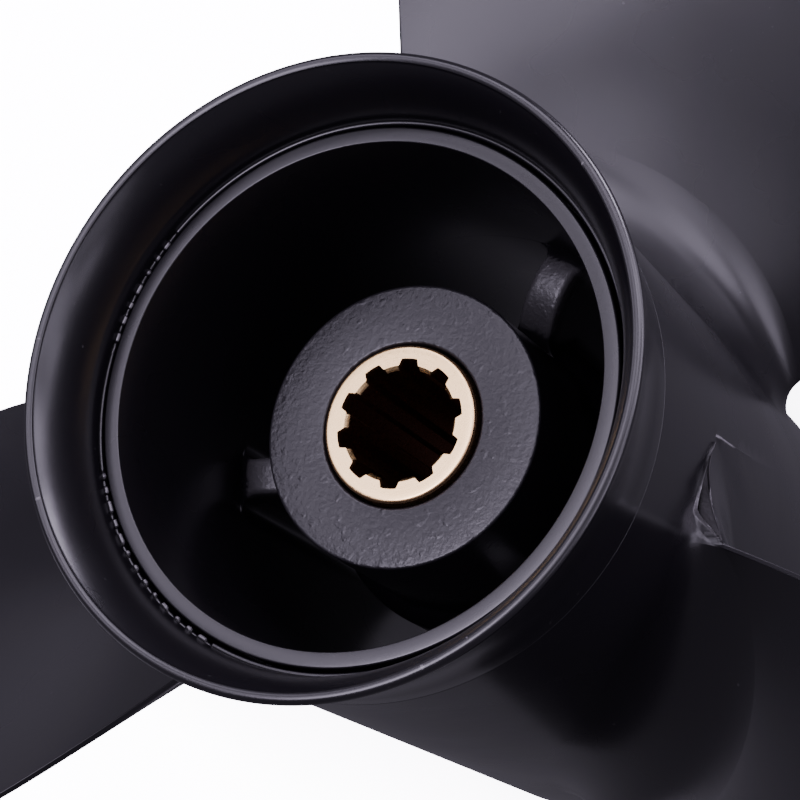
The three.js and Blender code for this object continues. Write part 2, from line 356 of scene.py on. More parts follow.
def blade_columns():
    """Columns that run once round the section, as a dict of arrays.

    Each has its place on the section (chord, depth, overhang), and the direction, reach and
    rise of the fillet that carries it on to the barrel. Directions are angles from the
    circumference, on the unrolled barrel, with aft upwards. "blend" turns the fillet from a
    quarter ellipse into a plainer slope, "leaf" is the place across the hollow in the end of
    the suction side's fillet, "bow" carries its middle aft, and "apron" is how far the smooth
    skirt round the foot carries on.
    """
    advance = PITCH / (2 * math.pi * BARREL_RADIUS)
    chordwise = math.degrees(math.atan(advance))
    pressure_way, suction_way = chordwise + 90, chordwise - 90
    columns = []

    def column(chord, depth, overhang, way, reach, rise, blend=0.0, leaf=0.0, bow=0.0, apron=1.0):
        columns.append((chord, depth, overhang, way, reach, rise, blend, leaf, bow, apron))

    faces = crowded(FACE_COLUMNS)
    for chord in faces:
        bulge = math.sin(math.pi * chord) ** 0.8
        way = pressure_way + LEADING_SPLAY * max(0, 1 - chord / LEADING_END)
        way -= TRAILING_SPLAY * max(0, 1 - (1 - chord) / TRAILING_END)
        reach = FILLET + PRESSURE_SWELL * bulge
        column(chord, 0, -0.2 if chord == 1 else 0, way, reach, reach)
    # trailing edge: a flat end face, whose forward half opens into the leaf-shaped hollow
    for index, spread in enumerate(LEAF_SPREAD):
        depth = 0.1 + 0.84 * index / (len(LEAF_SPREAD) - 1)
        turn_over = max(0, spread)
        way = chordwise * (1 - turn_over) + 45 * max(0, -spread)
        reach = TRAILING_REACH + (LEAF_REACH - TRAILING_REACH) * turn_over ** 1.3
        rise = TRAILING_RISE + (LEAF_RISE - TRAILING_RISE) * turn_over
        column(1, depth, 0, way, reach, rise, turn_over, turn_over,
               LEAF_BOW * turn_over ** 3, 0.5 - 0.4 * turn_over)
    for chord in faces[::-1]:
        near_end = max(0, 1 - (1 - chord) / LEAF_END)
        way = suction_way * (1 - near_end ** 0.8)
        way -= LEADING_SPLAY * max(0, 1 - chord / LEADING_END)
        bulge = math.sin(math.pi * chord) ** 0.8
        reach = FILLET + SUCTION_REACH_SWELL * bulge + (LEAF_REACH - FILLET) * near_end ** 1.5
        rise = FILLET + SUCTION_RISE_SWELL * bulge + (LEAF_RISE - FILLET) * near_end ** 1.5
        column(chord, 1, -0.15 if chord == 1 else 0, way, reach, rise, near_end ** 0.5, 0,
               LEAF_BOW * near_end ** 3, 1 - 0.9 * near_end)
    # leading edge: a half-round nose
    for index in range(1, NOSE_COLUMNS):
        swing = math.pi * index / NOSE_COLUMNS
        way = suction_way - LEADING_SPLAY - (180 - 2 * LEADING_SPLAY) * index / NOSE_COLUMNS
        nose = -0.5 * LEADING_EDGE * math.sin(swing)
        column(0, 0.5 + 0.5 * math.cos(swing), nose, way, FILLET, FILLET)
    names = (
        "chord", "depth", "overhang", "way", "reach", "rise", "blend", "leaf", "bow", "apron")
    return dict(zip(names, np.array(columns, float).T))


def leaf_sink(column, offset):
    """How deep the hollow is and how much painted highlight its rim gets, at a distance out from the
    blade's edge.
    """
    across = column["leaf"]
    # the hollow's sides, which close in on each other towards the blade's edge
    near = 1 - np.clip(offset / 5.5, 0, 1)
    left = 0.9 * near ** 1.7
    right = 0.98 - 0.16 * smooth(-offset, -7, -1.5)
    # how far in from its outline a point lies: a soft minimum, then the straight right side
    outer, side = column["reach"] - offset, LEAF_WIDTH * (across - left)
    inset = 0.5 * (outer + side - np.sqrt((outer - side) ** 2 + 2.2)) + 0.35
    inset = np.minimum(inset, LEAF_WIDTH * (right - across) + 0.25)
    hollow = smooth(inset, 0.4, 1.0) * smooth(-offset, -8.6, -5.6)
    rim = within(inset, -0.1, 0.7, 0.32, 0.42)
    shown = (across > 0) & (across < 0.985)
    right_rim = within(across, right - 0.12, right + 0.05, 0.06, 0.05)
    left_rim = within(inset, -0.75, 0.8, 0.55, 0.45)
    # a painted highlight along both rims of the hollow
    wear_and_highlight_share = np.maximum(left_rim, right_rim) * smooth(offset, 0.05, 0.4) * shown
    return np.where(shown, LEAF_DEPTH * hollow - LEAF_RIM * rim, 0), LEAF_RIM_HIGHLIGHT * wear_and_highlight_share


def blade_grid():
    """Rows from barrel to tip, as (angle, radius, height) for every column, and the painted
    highlight on each point.
    """
    column = blade_columns()
    way = np.radians(column["way"])
    rows, painted_highlight = [], []

    def fillet_row(offset, rise, sink, wear_and_highlight_share=0.0):
        radius = BARREL_RADIUS + rise
        angle, height = blade_wall(radius, column["chord"], column["depth"], column["overhang"])
        angle = angle + offset * np.cos(way) / radius
        share = np.clip(offset / column["reach"], 0, 1)
        height = height + offset * np.sin(way) + column["bow"] * np.sin(math.pi * share)
        rows.append((angle, radius - sink, height - 0.35 * sink))
        painted_highlight.append(np.broadcast_to(wear_and_highlight_share, column["rise"].shape))

    flat = np.zeros_like(column["rise"])
    for extra in APRON_REACH:
        fillet_row(column["reach"] + extra * column["apron"], flat, flat)
    for level in FILLET_LEVELS:
        share = math.sin(level)
        offset = column["reach"] * (1 - share)
        curve = (1 - column["blend"]) * (1 - math.cos(level)) + column["blend"] * share ** 1.9
        fillet_row(offset, column["rise"] * curve, *leaf_sink(column, offset))
    # a painted highlight down the trailing edge beside the hollow, fading out towards the tip
    beside_leaf = (column["leaf"] > 0.8) & (column["leaf"] < 0.99)
    trailing_highlight = np.where(beside_leaf, TRAILING_HIGHLIGHT, 0.0)
    for share in crowded(BLADE_ROWS)[1:]:
        foot = BARREL_RADIUS + column["rise"]
        radius = foot + (TIP_RADIUS - TIP_GAP - foot) * share
        angle, height = blade_wall(radius, column["chord"], column["depth"], column["overhang"])
        rows.append((angle, radius, height))
        painted_highlight.append(trailing_highlight * (1 - smooth(share, 0.0, 0.6)))
    rows = np.array([np.broadcast_arrays(*row) for row in rows])
    return rows.transpose(0, 2, 1), np.array(painted_highlight)


def tip_cap_faces(row_start):
    """Faces that close the blade's last row between its two sides."""
    suction = FACE_COLUMNS + 1 + len(LEAF_SPREAD)
    total = suction + FACE_COLUMNS + 1 + NOSE_COLUMNS - 1
    faces = []
    for index in range(FACE_COLUMNS):
        opposite = suction + FACE_COLUMNS - index
        faces.append((index, index + 1, opposite - 1, opposite))
    faces.append(tuple(range(FACE_COLUMNS, suction + 1)))
    faces.append(tuple(range(suction + FACE_COLUMNS, total)) + (0,))
    return [tuple(row_start + corner for corner in face) for face in faces]


# ------------------------------------------------------------------ barrel skin

AFT_EDGE_STEPS = -82                      # where a third of the skin starts at its aft edge
FRONT_EDGE_STEPS = -121                   # and at its front edge
SIDE_STEPS = 60
SKIN_SPACING = 1.7
SKIN_AFT = SHOULDER - 0.35
SKIN_FRONT = BARREL_FRONT + 0.6
PARTING_CURVE = (14.35, 0.045, 0.0022)    # offset, slope and bend of the mould's parting line
PARTING_HEIGHT = 0.25                     # how far the skin beside the parting line stands proud
PARTING_RIDGE = 0.2
PARTING_WIDTH = 0.42
PARTING_RISE = (1.8, 3.4)                 # where it starts, forward of the trailing edge
PARTING_FALL = (12, 34)                   # and where it fades out
PARTING_SIDE = (3, 12)                    # how far round the proud skin fades out
RIDGE_HIGHLIGHT = (0.5, 12, 1.5, 4)            # where its ridge is painted a lighter colour as a highlight, and how softly that starts and ends


def inside(points, polygon):
    """Which points lie inside a closed polygon."""
    x, y = points[:, 0, None], points[:, 1, None]
    x0, y0 = polygon[:, 0], polygon[:, 1]
    x1, y1 = np.roll(x0, -1), np.roll(y0, -1)
    crosses = (y0 > y) != (y1 > y)
    run = np.where(y1 == y0, 1, y1 - y0)
    left = x < (x1 - x0) * (y - y0) / run + x0
    return (crosses & left).sum(axis=1) % 2 == 1


def distance_to(points, polyline, closed=False):
    """Shortest distance from each point to a line drawn through corners."""
    stops = np.roll(polyline, -1, axis=0) if closed else polyline[1:]
    best = np.full(len(points), np.inf)
    for start, stop in zip(polyline, stops):
        run = stop - start
        share = np.clip((points - start) @ run / max(run @ run, 1e-12), 0, 1)
        best = np.minimum(best, np.hypot(*(points - start - share[:, None] * run).T))
    return best


def parting_line(height):
    """Where the mould's parting line, a shallow curve, crosses the unrolled barrel at a height."""
    forward = TRAILING_ROOT - height
    start, slope, curve = PARTING_CURVE
    return start + slope * forward + curve * np.maximum(forward, 0) ** 2


def parting_step(points, opening):
    """How far the skin stands proud by the parting line, and how much painted highlight its ridge
    gets.
    """
    across = parting_line(points[:, 1]) - points[:, 0]
    forward = TRAILING_ROOT - points[:, 1]
    side = np.interp(across, (-PARTING_WIDTH, PARTING_WIDTH), (0, 1))
    along = np.interp(forward, PARTING_RISE + PARTING_FALL, (0, 1, 1, 0))
    band = np.interp(across, PARTING_SIDE, (1, 0))
    margin = 0.5 + 4 * smooth(forward, 3, 12)
    clear = smooth(distance_to(points, opening, True) / margin, 0, 1)
    ridge = np.clip(1 - np.abs(across) / PARTING_WIDTH, 0, 1)
    height = (PARTING_HEIGHT * side * band + PARTING_RIDGE * ridge) * along * clear
    return height, ridge * within(forward, *RIDGE_HIGHLIGHT)


def skin_sector(opening):
    """A third of the barrel's outside, with an opening for the blade's foot.

    It is laid out flat, (distance round, height), triangulated, and returned as points, faces
    and the painted highlight along the parting line's ridge. The slanting sides keep clear of both
    neighbouring blades.
    """
    aft_start = AFT_EDGE_STEPS * STEP * BARREL_RADIUS
    front_start = FRONT_EDGE_STEPS * STEP * BARREL_RADIUS
    width = SECTOR * STEP * BARREL_RADIUS
    round_edge = np.arange(SECTOR + 1) * STEP * BARREL_RADIUS
    share = np.linspace(0, 1, SIDE_STEPS + 1)
    side = np.column_stack([
        aft_start + (front_start - aft_start) * share,
        SKIN_AFT + (SKIN_FRONT - SKIN_AFT) * share,
    ])
    aft = np.column_stack([aft_start + round_edge, np.full(SECTOR + 1, SKIN_AFT)])
    front = np.column_stack([front_start + round_edge, np.full(SECTOR + 1, SKIN_FRONT)])
    outer = np.vstack([
        aft[:-1], (side + (width, 0))[:-1], front[::-1][:-1], side[::-1][:-1],
    ])
    heights = np.linspace(TRAILING_ROOT - 1.8, TRAILING_ROOT - 36, 60)
    lines = [
        np.column_stack([parting_line(heights) + shift, heights])
        for shift in (-PARTING_WIDTH, 0, PARTING_WIDTH)
    ]
    lines = [
        line[~inside(line, opening) & (distance_to(line, opening, True) > 0.2)] for line in lines
    ]
    across = np.arange(outer[:, 0].min(), outer[:, 0].max(), SKIN_SPACING)
    along = np.arange(SKIN_FRONT + 1, SKIN_AFT - 0.8, SKIN_SPACING * 0.87)
    lattice = np.array([
        (x + (row % 2) * SKIN_SPACING / 2, y)
        for row, y in enumerate(along) for x in across
    ])
    lattice = lattice[inside(lattice, outer) & ~inside(lattice, opening)]
    for edge, room, closed in (
        (outer, 0.9, True), (opening, 0.7, True), *((line, 0.7, False) for line in lines),
    ):
        lattice = lattice[distance_to(lattice, edge, closed) > room]

    loops = [outer, opening]
    points = np.vstack(loops + lines + [lattice])
    edges, start = [], 0
    for loop in loops:
        edges += [(start + i, start + (i + 1) % len(loop)) for i in range(len(loop))]
        start += len(loop)
    for line in lines:
        edges += [(start + i, start + i + 1) for i in range(len(line) - 1)]
        start += len(line)
    flat, _, triangles, *_ = delaunay_2d_cdt(
        [Vector(point) for point in points], edges, [], 1, 1e-6, False)
    flat = np.array(flat)
    triangles = np.array([tri for tri in triangles if len(tri) == 3])
    middle = flat[triangles].mean(axis=1)
    sides = flat[triangles[:, 1:]] - flat[triangles[:, :1]]
    area = np.abs(sides[:, 0, 0] * sides[:, 1, 1] - sides[:, 0, 1] * sides[:, 1, 0]) / 2
    keep = inside(middle, outer) & ~inside(middle, opening) & (area > 1e-4)
    step, wear_and_highlight_share = parting_step(flat, opening)
    skin = polar(BARREL_RADIUS + step, flat[:, 0] / BARREL_RADIUS, flat[:, 1])
    return skin, triangles[keep], wear_and_highlight_share


# ------------------------------------------------------------------ exhaust passages


def rib_side(hub, half, fillet):
    """Radii and angles of a rib's side from hub to barrel, at a height where it has this size."""
    def centre_at(radius):
        return np.array((math.sqrt(radius ** 2 - (half + fillet) ** 2), half + fillet))

    def fillet_arc(centre, start, stop):
        first, last = (math.atan2(*(end - centre)[::-1]) for end in (start, stop))
        sweep = (last - first + math.pi) % (2 * math.pi) - math.pi
        return arc(centre, fillet, first + sweep * np.linspace(0, 1, 6))

    low, high = centre_at(hub + fillet), centre_at(BARREL_BORE - fillet)
    on_hub = low * hub / (hub + fillet)
    on_barrel = high * BARREL_BORE / (BARREL_BORE - fillet)
    foot, head = np.array((low[0], half)), np.array((high[0], half))
    flank = [foot * (1 - share) + head * share for share in np.linspace(0, 1, 15)[1:-1]]
    side = np.array(fillet_arc(low, on_hub, foot) + flank + fillet_arc(high, head, on_barrel))
    return np.hypot(*side.T), np.arctan2(side[:, 1], side[:, 0])


def hub_radius(height):
    """Outside of the inner hub: an aft boss that swells at its waist into the bush's housing."""
    return float(np.interp(
        -height,
        (-HUB_AFT, -HUB_WAIST - 1.5, -HUB_WAIST, -HUB_WAIST + 1.5,
         -HUB_HOUSING - 0.6, -HUB_HOUSING, -HUB_HOUSING + 0.6),
        (HUB_RADIUS, HUB_WAIST_RADIUS - 0.04, HUB_WAIST_RADIUS + 0.18, HUB_WAIST_RADIUS + 0.6,
         HUB_HOUSING_RADIUS - 0.26, HUB_HOUSING_RADIUS - 0.06, HUB_HOUSING_RADIUS),
    ))


def passage_levels():
    """(height, rib half thickness, fillet size) from a rib's aft nose to its front nose."""
    edge = RIB_NOSE / RIB_HALF_THICKNESS
    levels = []
    for end, inward in ((RIB_AFT, -1), (RIB_FRONT, 1)):
        rounding = [(end, 0.02), (end + inward * 0.01, 0.35)]
        for a in np.radians([0, 20, 40, 60, 78, 90]):
            drop = 0.02 + RIB_NOSE * (1 - math.cos(a))
            rounding.append((end + inward * drop, 1 - edge + edge * math.sin(a)))
        levels.append(rounding)
    aft, front = levels
    between = np.linspace(aft[-1][0], front[-1][0], 14)[1:-1]
    hub_bends = [
        HUB_WAIST - 0.01, HUB_WAIST - 1.5, HUB_HOUSING + 0.6, HUB_HOUSING, HUB_HOUSING - 0.6,
    ]
    between = sorted(list(between) + hub_bends, reverse=True)
    path = aft + [(height, 1.0) for height in between] + front[::-1]
    draft = RIB_DRAFT / (RIB_AFT - RIB_FRONT)
    return [
        (height, (RIB_HALF_THICKNESS + draft * (RIB_AFT - height)) * full, RIB_FILLET * full)
        for height, full in path
    ]


def nose_fall(radius, height):
    """How far the ribs' crowned aft ends fall away towards the hub and the barrel."""
    by_hub = np.clip(1 - (radius - HUB_WAIST_RADIUS) / RIB_HUB_ROUNDING, 0, 1) ** 2
    by_barrel = np.clip(1 - (BARREL_BORE - radius) / RIB_BARREL_ROUNDING, 0, 1) ** 2
    fade = np.clip(1 - (RIB_AFT - height) / 10, 0, 1)
    return (RIB_HUB_DROP * by_hub + RIB_BARREL_DROP * by_barrel) * fade


def passage_row(height, half, fillet, spread=1):
    """Outline of one passage at a height, from one rib's middle to the next.

    With a spread of 0 the ribs beside it have shrunk to lines on the radius.
    """
    hub = hub_radius(height)
    radius, angle = rib_side(hub, half, fillet)
    angle = spread * angle
    hub_angle = np.linspace(angle[0], THIRD - angle[0], SECTOR + 1)
    barrel_angle = np.linspace(THIRD - angle[-1], angle[-1], SECTOR + 1)
    return np.vstack([
        polar(hub, hub_angle, height)[:-1],
        polar(radius, THIRD - angle, height)[:-1],
        polar(BARREL_BORE, barrel_angle, height)[:-1],
        polar(radius[::-1], angle[::-1], height)[:-1],
    ])


def passage_grid():
    """Walls of one exhaust passage, ending where the ribs' noses are lines."""
    levels = passage_levels()
    _, *nose = levels[0]
    rows = [passage_row(*level) for level in levels]
    aft, front = (passage_row(end, *nose, spread=0) for end in (RIB_AFT, RIB_FRONT))
    grid = np.array([aft, *rows, front])
    grid[..., 2] -= nose_fall(np.hypot(grid[..., 0], grid[..., 1]), grid[..., 2])
    return grid


def rotated(points, angle):
    """Points turned about the shaft."""
    cos, sin = math.cos(angle), math.sin(angle)
    return np.asarray(points) @ np.array([[cos, sin, 0], [-sin, cos, 0], [0, 0, 1]])


# ------------------------------------------------------------------ casting

ROOT_ROUGHNESS = 0.8                      # share of the sand-cast skin at the blades' roots
# share of lighter metal colour in a patch at each trailing root
ROOT_LIGHTENING = 0.42
# share of lighter metal colour on the ribs' aft noses: a painted highlight
RIB_NOSE_HIGHLIGHT = 0.45
ROOT_PATCH = 3.2                          # half size of the lighter patch at a trailing root
ROOT_PATCH_ROUND = 1.5                    # and its middle, round and aft from the root
ROOT_PATCH_AFT = 3.2


def casting_turned_parts():
    """Open profiles of everything on the casting that is round, as (radius, height) paths."""
    bore_end = HUB_AFT - HUB_END_WALL
    aft = rounded([
        (BARREL_RADIUS, SKIN_AFT, 0),
        (BARREL_RADIUS, SHOULDER, 0.06),
        (RABBET_RADIUS, SHOULDER, 0.06),
        (RABBET_RADIUS, LIP, 0.3),
        (BARREL_BORE, LIP, 0.22),
        (BARREL_BORE, RIB_AFT - RIB_BARREL_DROP, 0),
    ])
    front = rounded([
        (BARREL_BORE, RIB_FRONT, 0),
        (BARREL_BORE, BARREL_FRONT, 0.8),
        (BARREL_RADIUS, BARREL_FRONT, 0.5),
        (BARREL_RADIUS, SKIN_FRONT, 0),
    ])
    hub = rounded([
        (hub_radius(RIB_AFT), RIB_AFT - RIB_HUB_DROP, 0),
        (HUB_RADIUS, HUB_AFT, 0.5),
        (HUB_AFT_BORE, HUB_AFT, 0.5),
        (HUB_AFT_BORE, bore_end, 0.4),
        (BUSH_BORE, bore_end, 1.2),
        (BUSH_BORE, HUB_FRONT, 0.9),
        (HUB_HOUSING_RADIUS, HUB_FRONT, 0.7),
        (HUB_HOUSING_RADIUS, RIB_FRONT, 0),
    ])
    return aft, front, hub


def build_casting():
    """The whole casting: turned ends, skin, blades and exhaust passages, joined in one shell."""
    sheet = Sheet()
    for profile in casting_turned_parts():
        sheet.add_grid(turned(profile))
    blade, blade_highlight = blade_grid()
    opening = np.column_stack([blade[0, :, 0] * BARREL_RADIUS, blade[0, :, 2]])
    skin_points, skin_faces, skin_highlight = skin_sector(opening)
    blade_points = polar(blade[:, :, 1], blade[:, :, 0], blade[:, :, 2])
    passage = passage_grid()
    rows, columns = blade_points.shape[:2]
    for index in range(BLADE_COUNT):
        angle = THIRD * index
        sheet.add(rotated(skin_points, angle), skin_faces, skin_highlight)
        start = len(sheet.points)
        sheet.add_grid(rotated(blade_points, angle), wear_and_highlight_share=blade_highlight)
        sheet.faces.extend(tip_cap_faces(start + (rows - 1) * columns))
        sheet.add_grid(rotated(passage, angle - RIB_STEPS * STEP))
    casting = sheet.build("casting_painted")
    boss, ribs, roots = as_cast(*corners_of(casting))
    mark(casting, "as_cast", boss + ribs + ROOT_ROUGHNESS * roots)
    # lighter metal colour: a painted highlight on the rib noses, and a lighter patch at each
    # trailing root
    mark(casting, "wear_and_highlight", RIB_NOSE_HIGHLIGHT * ribs + ROOT_LIGHTENING * roots)
    return casting


def as_cast(radius, angle, height):
    """Where the sand-cast skin shows through the paint: boss, rib noses and blade roots."""
    boss = 1 - smooth(radius, HUB_RADIUS - 0.1, HUB_RADIUS + 0.15)
    boss = boss * smooth(height, HUB_AFT - 0.9, HUB_AFT - 0.3)
    ribs = within(radius, HUB_WAIST_RADIUS, BARREL_BORE - 0.75, 1, 1.4)
    ribs = ribs * within(height, RIB_AFT - 5, RIB_AFT + 2, 2, 2)
    beside = (angle + THIRD / 2) % THIRD - THIRD / 2
    away = np.hypot(
        beside * radius - ROOT_PATCH_ROUND, (height - TRAILING_ROOT - ROOT_PATCH_AFT) / 1.3)
    root = np.exp(-(away / ROOT_PATCH) ** 4)
    root = root * within(radius, BARREL_RADIUS - 0.7, BARREL_RADIUS + 7.3, 0.6, 3)
    return boss, ribs, root


# ------------------------------------------------------------------ diffuser ring

MOUTH_EDGE = 0.38
MOUTH_RADIUS = 37.25
MOUTH = RIM - 11.05
NICK_PITCH = math.radians(3.75)           # of the press marks along part of the ring's mouth
NICK_ARC = (math.radians(160), math.radians(262))
NICK_FADE = 0.022
NICK_DEPTH = (0.35, 0.45)                 # outwards and forwards
# lighter metal colour along the mouth's rounded edge: a painted highlight
MOUTH_HIGHLIGHT = 0.25
TEETH_WEAR_AND_HIGHLIGHT = 0.7                         # on the teeth between the nicks: worn paint, brightened further as a painted highlight
WORN_ARC = (math.radians(186), math.radians(215))
WORN_FADE = math.radians(2)
RIM_CHIPS = (211.5, 221.5, 229.5, 251, 267, 65)    # where the rim has lost a little paint


def ring_profile():
    """Closed section of the ring: seat, mouth edge, bell, rounded rim, flared outside."""
    edge = arc((MOUTH_RADIUS + MOUTH_EDGE, MOUTH - MOUTH_EDGE), MOUTH_EDGE,
               np.radians([200, 180, 155, 130, 105, 80]))
    bell = bezier(
        (MOUTH_RADIUS + 0.6, MOUTH - 0.08), (38.0, RIM - 6.8),
        (RIM_RADIUS - 3.15, RIM - 2.5), (RIM_RADIUS - 1.5, RIM - 0.42), 26)
    flare = bezier(
        (RIM_RADIUS, RIM - 1.05), (41.7, RIM - 5.4), (BARREL_RADIUS, RIM - 10.5),
        (BARREL_RADIUS, RIM - 17), 18)
    seat = rounded([
        (BARREL_RADIUS, RIM - 17, 0),
        (BARREL_RADIUS, RING_FRONT, 0.06),
        (RING_SEAT, RING_FRONT, 0.12),
        (RING_SEAT, RIM - 14.3, 0),
    ])
    rim = arc((RIM_RADIUS - 0.87, RIM - 0.92), np.array((0.873, 0.9)),
              np.radians([133, 116, 99, 82, 65, 48, 31, 14]))
    return seat + edge + bell + rim + flare[:-1], len(seat), len(seat + edge)


def mouth_nicks(angle, chance):
    """How far the ring's mouth is nicked at each angle, from 0 to 1."""
    nicks = within(angle, *WORN_ARC, WORN_FADE, WORN_FADE)
    for centre in np.arange(NICK_ARC[0], NICK_ARC[1], NICK_PITCH):
        middle = centre + chance.uniform(-0.12, 0.12) * NICK_PITCH
        half = NICK_PITCH * chance.uniform(0.2, 0.36)
        nicks = np.maximum(nicks, 1 - smooth(np.abs(angle - middle), half * 0.6, half * 1.3))
    return nicks


def build_ring():
    """The bell-mouthed ring, its mouth nicked, its rim chipped, and a painted highlight along its
    mouth edge that is partly worn paint on the teeth between the nicks.
    """
    chance = np.random.default_rng(7)
    profile, first, last = ring_profile()
    around = 2 * AROUND
    grid = turned(profile, around)
    angle = np.arange(around) * 2 * math.pi / around
    nicks = mouth_nicks(angle, chance)
    for row in range(first, last):
        radius, height = profile[row]
        grid[row] = polar(radius + NICK_DEPTH[0] * nicks, angle, height - NICK_DEPTH[1] * nicks)
    wear_and_highlight_share = np.zeros(grid.shape[:2])
    pressed = within(angle, NICK_ARC[0] - NICK_FADE, NICK_ARC[1], NICK_FADE, NICK_FADE)
    # a painted highlight along the mouth edge, stronger on the teeth between the nicks, where it is
    # partly worn paint
    mouth_wear_and_highlight = MOUTH_HIGHLIGHT + (TEETH_WEAR_AND_HIGHLIGHT - MOUTH_HIGHLIGHT) * pressed
    wear_and_highlight_share[first + 2:last - 1] = mouth_wear_and_highlight * (1 - nicks)
    sheet = Sheet()
    sheet.add_grid(np.concatenate([grid, grid[:1]]), wear_and_highlight_share=np.concatenate([wear_and_highlight_share, wear_and_highlight_share[:1]]))
    ring = sheet.build("diffuser_ring_painted")
    mark(ring, "wear_and_highlight", bare_spots(*corners_of(ring), chance))
    return ring


def bare_spots(radius, angle, height, chance):
    """Small chips in the paint along the rim."""
    wear_and_highlight = np.zeros_like(radius)
    for turn in RIM_CHIPS + tuple(chance.uniform(150, 420, 9)):
        size = chance.uniform(0.16, 0.3)
        away = (angle - math.radians(turn) + math.pi) % (2 * math.pi) - math.pi
        drop = RIM - chance.uniform(0.1, 0.9) - height
        side = RIM_RADIUS - chance.uniform(0.5, 1.3) - radius
        wear_and_highlight += np.exp(-((away * radius) ** 2 + 0.4 * drop ** 2 + 0.5 * side ** 2) / size ** 2)
    return wear_and_highlight


# ------------------------------------------------------------------ bush and sleeve

SPLINES = 10
SPLINE_MINOR = 7.8
SPLINE_MAJOR = 9.25
SPLINE_MOUTH = 3.1
SPLINE_FLOOR = 2.3
SPLINE_PHASE = math.radians(-4.6)
LEAD_IN = 0.45
FLOOR_EASE = 0.02                         # rounding of a groove's floor at its corners
SLEEVE_EDGE = 0.55                        # rounding of the sleeve's outer edges
LAND_POINTS = 7
WALL_POINTS = 6


def build_bush():
    """The moulded bush, with a shallow groove round each end face."""
    inner = SLEEVE_RADIUS + 0.3
    low, high = bush_low[2], bush_high[2]
    profile = rounded([
        (inner, high - 20, 0),
        (inner, high, 0.5),
        ((inner + BUSH_RADIUS) / 2, high - 0.8, 1.5),
        (BUSH_RADIUS, high - 0.4, 0.8),
        (BUSH_RADIUS, low + 0.4, 0.8),
        ((inner + BUSH_RADIUS) / 2, low + 0.9, 1.5),
        (inner, low, 0.5),
        (inner, high - 20, 0),
    ])
    sheet = Sheet()
    sheet.add_grid(turned(profile, 180))
    return sheet.build("rubber_bush_moulded")


def spline_outline():
    """Radius and angle round the splined bore, with crisp corners and eased land edges."""
    mouth = math.asin(SPLINE_MOUTH / 2 / SPLINE_MINOR)
    floor = math.asin(SPLINE_FLOOR / 2 / SPLINE_MAJOR)
    step = 2 * math.pi / SPLINES
    wall = [
        (mouth - (mouth - floor) * share, SPLINE_MINOR + (SPLINE_MAJOR - SPLINE_MINOR) * share)
        for share in np.linspace(0, 1, WALL_POINTS)[1:-1]
    ]
    one = [
        (-mouth - (step - 2 * mouth) * (1 - share), SPLINE_MINOR)
        for share in np.linspace(0, 1, LAND_POINTS)
    ]
    one += [(-angle, radius) for angle, radius in wall]
    one += [
        (floor * share, SPLINE_MAJOR - FLOOR_EASE * abs(share) ** 4)
        for share in np.linspace(-1, 1, WALL_POINTS)
    ]
    one += wall[::-1]
    angle, radius = np.array(one).T
    turns = SPLINE_PHASE + step * np.arange(SPLINES)
    return np.tile(radius, SPLINES), (angle + turns[:, None]).ravel()


def build_sleeve():
    """Turned and broached brass: outside, rounded ends, faces, lead-in cones and splines."""
    outline, angle = spline_outline()
    low, high = sleeve_low[2], sleeve_high[2]
    aft_edge = arc((SLEEVE_RADIUS - SLEEVE_EDGE, high - SLEEVE_EDGE), SLEEVE_EDGE,
                   np.radians([0, 22, 45, 68, 90]))
    front_edge = [(radius, low + high - height) for radius, height in aft_edge[::-1]]
    outside = [polar(radius, angle, height) for radius, height in front_edge + aft_edge]
    middle_radius = 0.5 * (SPLINE_MAJOR + SLEEVE_RADIUS - SLEEVE_EDGE)
    cone = SPLINE_MINOR + LEAD_IN
    bore = [
        polar(middle_radius, angle, high),
        polar(np.maximum(outline, cone + 0.05), angle, high),
        polar(np.maximum(outline, cone), angle, high - 0.04),
        polar(np.maximum(outline, SPLINE_MINOR), angle, high - LEAD_IN * 1.3),
    ]
    bore += [
        polar(outline, angle, height)
        for height in np.linspace(high - LEAD_IN * 1.3, low + LEAD_IN * 1.3, 12)[1:]
    ]
    bore += [
        polar(np.maximum(outline, cone), angle, low + 0.04),
        polar(np.maximum(outline, cone + 0.05), angle, low),
        polar(middle_radius, angle, low),
    ]
    sheet = Sheet()
    sheet.add_grid(np.array(outside + bore + outside[:1]))
    return sheet.build("spline_sleeve_brass", 28)


# ------------------------------------------------------------------ materials

CAST_ROUGHNESS = 0.31
CAST_SPECULAR = 0.36
ENAMEL_SPECULAR = 0.5
ENAMEL = (0.0036, 0.0032, 0.0042)
CAST_ENAMEL = (0.007, 0.0064, 0.0078)
DUST = (0.03, 0.029, 0.03)
# lighter metal colour: chipped paint, painted highlights on bright edges and rib noses, and a
# lighter patch at each trailing root
BARE_METAL_AND_HIGHLIGHT = (0.13, 0.125, 0.13)
BRIGHT_BRASS = (1.0, 0.74, 0.38)
DULL_BRASS = (0.98, 0.67, 0.30)
SHADED_EDGE_BRASS = (0.5, 0.31, 0.16)
BORE_SHADE = (0.24, 0.10, 0.05)
RUBBER = (0.01, 0.01, 0.01)


